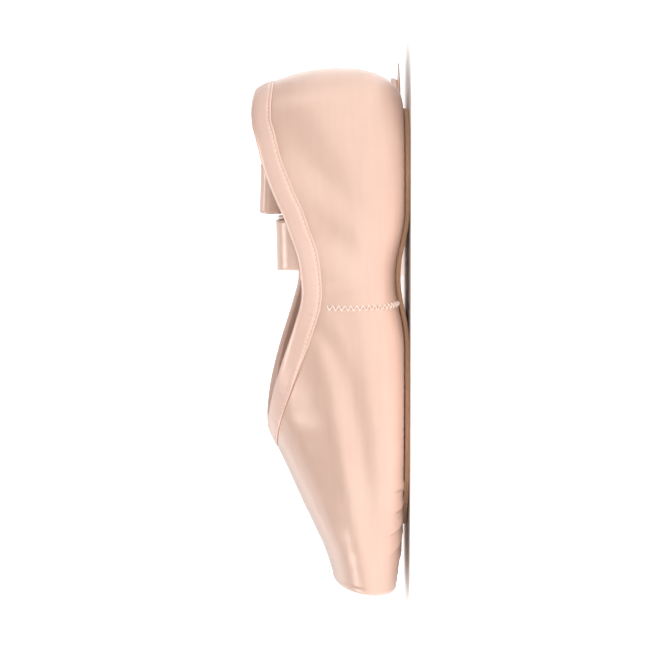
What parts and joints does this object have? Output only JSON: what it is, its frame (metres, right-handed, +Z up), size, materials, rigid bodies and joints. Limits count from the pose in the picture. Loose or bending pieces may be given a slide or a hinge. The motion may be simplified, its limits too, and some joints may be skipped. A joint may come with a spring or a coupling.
{
  "type": "pointe shoe",
  "caption": "Satin pointe shoe with a stiff toe box and flat platform, bound collar, short leather sole and sewn ribbons.",
  "frame": {"origin": "on the floor, at the middle of the flat spot below the ball of the foot", "axes": "+X points to the toe, +Y to the shoe's left side, +Z up from the floor"},
  "size_m": [0.2547, 0.2221, 0.0705],
  "materials": {
    "satin": "peach pink satin over canvas, soft sheen",
    "binding_satin": "folded peach pink satin tape",
    "ribbon_satin": "peach pink satin ribbon, thin and limp",
    "sole_leather": "pale buffed leather, tan cut edge",
    "insole_cloth": "plain matt cotton over board"
  },
  "bodies": {
    "root": {"upper": "satin", "outsole": "sole_leather", "insole": "insole_cloth", "binding": "binding_satin", "ribbon_left": "ribbon_satin", "ribbon_right": "ribbon_satin"}
  },
  "joints": []
}
